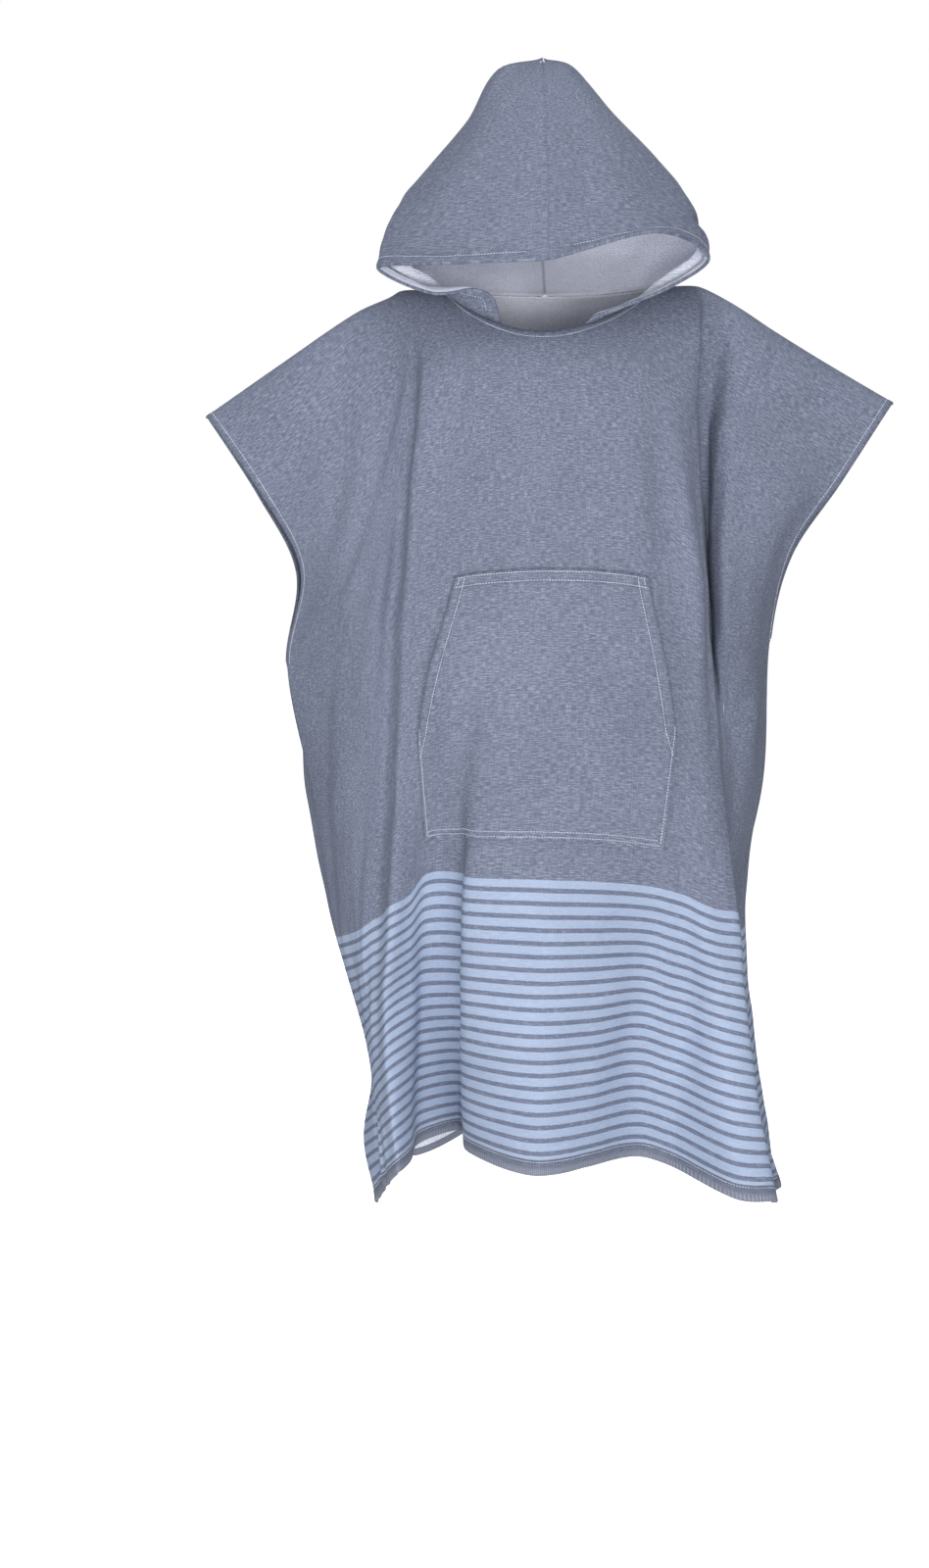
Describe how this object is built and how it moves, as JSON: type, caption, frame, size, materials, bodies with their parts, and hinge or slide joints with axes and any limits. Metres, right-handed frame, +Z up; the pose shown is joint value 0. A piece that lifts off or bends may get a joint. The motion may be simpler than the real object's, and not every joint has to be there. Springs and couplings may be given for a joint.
{
  "type": "hooded towel poncho",
  "caption": "Hooded changing poncho of towelling cloth in its worn hollow shape, with open arms, neck and hem and a kangaroo pocket.",
  "frame": {"origin": "middle of the shoulder line, between the wearer's shoulders, where they hold the garment", "axes": "+X across the garment to the viewer's right when its front is seen, +Y from its front to its back, +Z up"},
  "size_m": [0.808, 0.3509, 1.354],
  "materials": {
    "towelling": "woven chambray face with terry pile inside, matt",
    "tape": "pale twill tape, matt"
  },
  "bodies": {
    "root": {"front_panel": "towelling", "back_panel": "towelling", "hood_left": "towelling", "hood_right": "towelling", "hood_tape_left": "tape", "hood_tape_right": "tape", "kangaroo_pocket": "towelling"}
  },
  "joints": []
}
